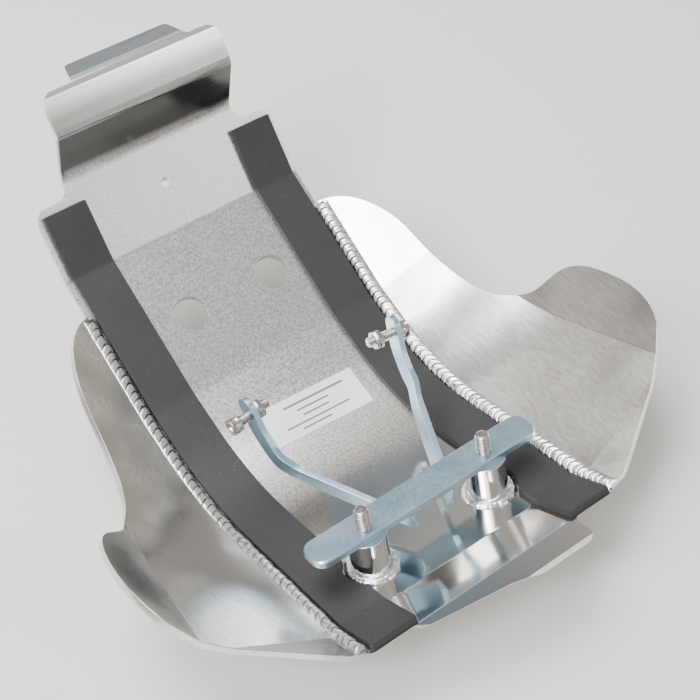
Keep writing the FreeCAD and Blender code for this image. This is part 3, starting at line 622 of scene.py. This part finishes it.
def pale_zinc():
    """Bright zinc plating on steel, faintly blue and cloudy."""
    made, tree = material_of("pale_zinc")
    place = node(tree, "ShaderNodeTexCoord").outputs["Object"]
    cloud = node(tree, "ShaderNodeTexNoise", {"Vector": place, "Scale": 55.0, "Detail": 4.0})
    spangle = node(tree, "ShaderNodeTexNoise", {"Vector": place, "Scale": 700.0, "Detail": 2.0})
    clouding = ramped(tree, cloud.outputs[0], 0.3, 0.7)
    tone = blend(tree, clouding, linear("#A6C8DD"), linear("#C6DFEE"), "RGBA")
    rough = ramped(tree, spangle.outputs[0], 0.35, 0.65, 0.3, 0.38)
    shader = node(tree, "ShaderNodeBsdfPrincipled", {"Base Color": tone, "Metallic": 1.0, "Roughness": rough})
    bump = node(tree, "ShaderNodeBump", {
        "Height": spangle.outputs[0], "Strength": 0.08, "Distance": 0.02 * MM})
    finish_material(tree, shader, bump.outputs[0])
    return made


zinc = pale_zinc()
sheet_copy("clamp_bar", 0.3 * MM, zinc)
for side in ("left", "right"):
    sheet_copy("arm_" + side, 0.3 * MM, zinc)

# Screws: socket head cap screws with rolled threads, a knurled rim and a hexagon socket. Two M8
# screws stand up through the bar; one M6 screw with a hexagon nut sits in each arm's eye.

turns = [k / 60 for k in range(60)]


def turned_ring(radius, height):
    """Level ring of points round the local Z."""
    return [round_point(radius, 2 * math.pi * turn, height) for turn in turns]


def hexagon(apothem, height):
    """Ring of points on a hexagon with one flat square to X."""
    points = []
    for turn in turns:
        angle = 2 * math.pi * turn
        within = (angle + math.pi / 6) % (math.pi / 3) - math.pi / 6
        points.append(round_point(apothem / math.cos(within), angle, height))
    return points


def threaded(radius, pitch, start, end):
    """Rings of a rolled thread, with a chamfered start at its far end."""
    depth = 0.6 * pitch
    rings = []
    steps = int((end - start) / (pitch / 10))
    for index in range(steps + 1):
        height = start + (end - start) * index / steps
        chamfer = max(0.0, height - (end - 0.9 * depth))
        ring = []
        for turn in turns:
            share = (height / pitch - turn) % 1.0
            groove = depth * (1.0 - min(1.0, abs(2.0 * share - 1.0) * 1.25))
            ring.append(round_point(radius - max(groove, chamfer), 2 * math.pi * turn, height))
        rings.append(ring)
    return rings


def cap_screw(thread, pitch, length, head):
    """Rings from the bottom of the socket, over the head and down the thread to its end."""
    top = -thread
    socket = 0.40 * thread
    rim = head / 2
    knurl_top, knurl_end = top + 0.7, -1.2
    knurls = []
    for height in (knurl_top, knurl_end):
        ring = turned_ring(rim, height)
        for k in range(0, len(ring), 2):
            ring[k] = Vector((ring[k].x * 0.972, ring[k].y * 0.972, ring[k].z))
        knurls.append(ring)
    return [
        hexagon(socket * 0.6, top + 0.58 * thread),
        hexagon(socket, top + 0.55 * thread),
        hexagon(socket, top + 0.3),
        turned_ring(socket * 1.18, top + 0.01),
        turned_ring(rim - 0.9, top),
        turned_ring(rim - 0.25, top + 0.3),
        turned_ring(rim, knurl_top - 0.1),
        *knurls,
        turned_ring(rim, knurl_end + 0.2),
        turned_ring(rim - 0.2, -0.1),
        turned_ring(rim - 0.5, 0.0),
        turned_ring(thread / 2, 0.0),
        *threaded(thread / 2, pitch, 0.3, length),
        turned_ring(0.3 * thread, length),
    ]


def hexagon_nut(thread, flats, height):
    """Rings round the nut: bore, chamfered face, flats, chamfered face, bore."""
    apothem = flats / 2
    bore = thread / 2
    chamfers = []
    for level, inward in ((0.0, 1), (height, -1)):
        ring = []
        for corner in hexagon(apothem, 0.0):
            over = corner.xy.length / MM - apothem + 0.25
            ring.append(Vector((corner.x, corner.y, (level + inward * over * 0.55) * MM)))
        chamfers.append(ring)
    return [
        turned_ring(bore, 0.4),
        turned_ring(bore + 0.35, 0.0),
        turned_ring(apothem - 0.25, 0.0),
        *chamfers,
        turned_ring(apothem - 0.25, height),
        turned_ring(bore + 0.35, height),
        turned_ring(bore, height - 0.4),
    ]


def plain_stainless():
    """Stainless steel: warm grey, softly polished, faintly cloudy."""
    made, tree = material_of("plain_stainless")
    place = node(tree, "ShaderNodeTexCoord").outputs["Object"]
    cloud = node(tree, "ShaderNodeTexNoise", {"Vector": place, "Scale": 500.0, "Detail": 2.0})
    tone = blend(tree, cloud.outputs[0], linear("#B4ADA6"), linear("#DDD8D2"), "RGBA")
    rough = ramped(tree, cloud.outputs[0], 0.35, 0.65, 0.18, 0.3)
    shader = node(tree, "ShaderNodeBsdfPrincipled", {"Base Color": tone, "Metallic": 1.0, "Roughness": rough})
    finish_material(tree, shader)
    return made


stainless = plain_stainless()
clamp_screw = cap_screw(8.0, 1.25, 25.0, 13.0)
arm_bolt = cap_screw(6.0, 1.0, 20.0, 10.0)
arm_nut = hexagon_nut(6.0, 10.0, 5.0)
inward_left = (0.99373, 0.10437, 0.04006)
inward_right = (-0.99373, 0.10437, 0.04006)
down_ramp = (0.0, 0.25, -0.97)
fasteners = [
    # node, rings, place in millimetres, way of the local Z
    ("clamp_screw_left", clamp_screw, (-40.7, -111.181, 39.361), ramp_up),
    ("clamp_screw_right", clamp_screw, (40.7, -111.181, 39.361), ramp_up),
    ("arm_bolt_left", arm_bolt, (-58.407, -18.953, 63.199), inward_left),
    ("arm_bolt_right", arm_bolt, (51.450, -18.222, 63.479), inward_right),
    ("arm_nut_left", arm_nut, (-47.972, -17.857, 63.619), inward_left),
    ("arm_nut_right", arm_nut, (40.023, -17.022, 63.940), inward_right),
]
for name, rings, place, upward in fasteners:
    seat = frame_at(place, upward, down_ramp)
    placed = [[seat @ point for point in ring] for ring in rings]
    mesh = lofted(name + "_rings", placed, rings is arm_nut)
    add_piece(name + "_made", mesh, stainless, name)

# Label: a matt paper sticker on the belly, with a few plain grey bars where text would be.

label_middle = Vector((7.0, 3.3, 0.0)) * MM
label_turn = math.radians(-3.0)
printed_bars = [
    # middle along and across the label, half length and half height, in millimetres
    (3.0, 7.6, 21.0, 0.75), (0.0, 3.2, 11.0, 0.6), (0.0, -1.0, 9.0, 0.6), (-1.0, -5.4, 22.0, 0.6),
    (-4.0, -9.2, 10.0, 0.6),
]


def label_paper():
    """Matt white paper with a faint tooth and plain grey bars."""
    made, tree = material_of("label_paper")
    place = node(tree, "ShaderNodeTexCoord").outputs["Object"]
    on_label = node(tree, "ShaderNodeMapping", {
        "Vector": place, "Location": label_middle, "Rotation": (0.0, 0.0, label_turn)},
        vector_type="TEXTURE").outputs[0]
    along, across = node(tree, "ShaderNodeSeparateXYZ", {0: on_label}).outputs[:2]
    ink = 0.0
    for middle, level, half_length, half_height in printed_bars:
        wide = node(tree, "ShaderNodeMath", {
            0: along, 1: middle * MM, 2: half_length * MM}, operation="COMPARE")
        tall = node(tree, "ShaderNodeMath", {
            0: across, 1: level * MM, 2: half_height * MM}, operation="COMPARE")
        bar = node(tree, "ShaderNodeMath", {0: wide.outputs[0], 1: tall.outputs[0]}, operation="MULTIPLY")
        ink = node(tree, "ShaderNodeMath", {0: ink, 1: bar.outputs[0]}, operation="MAXIMUM").outputs[0]
    tooth = node(tree, "ShaderNodeTexNoise", {"Vector": place, "Scale": 1400.0, "Detail": 2.0})
    tone = blend(tree, tooth.outputs[0], linear("#F3F4F7"), linear("#FCFCFD"), "RGBA")
    printed = blend(tree, ink, tone, linear("#77787B"), "RGBA")
    shader = node(tree, "ShaderNodeBsdfPrincipled", {"Base Color": printed, "Roughness": 0.5})
    bump = node(tree, "ShaderNodeBump", {"Height": tooth.outputs[0], "Strength": 0.15, "Distance": 0.03 * MM})
    finish_material(tree, shader, bump.outputs[0])
    return made


sheet_copy("label", 0.05 * MM, label_paper())
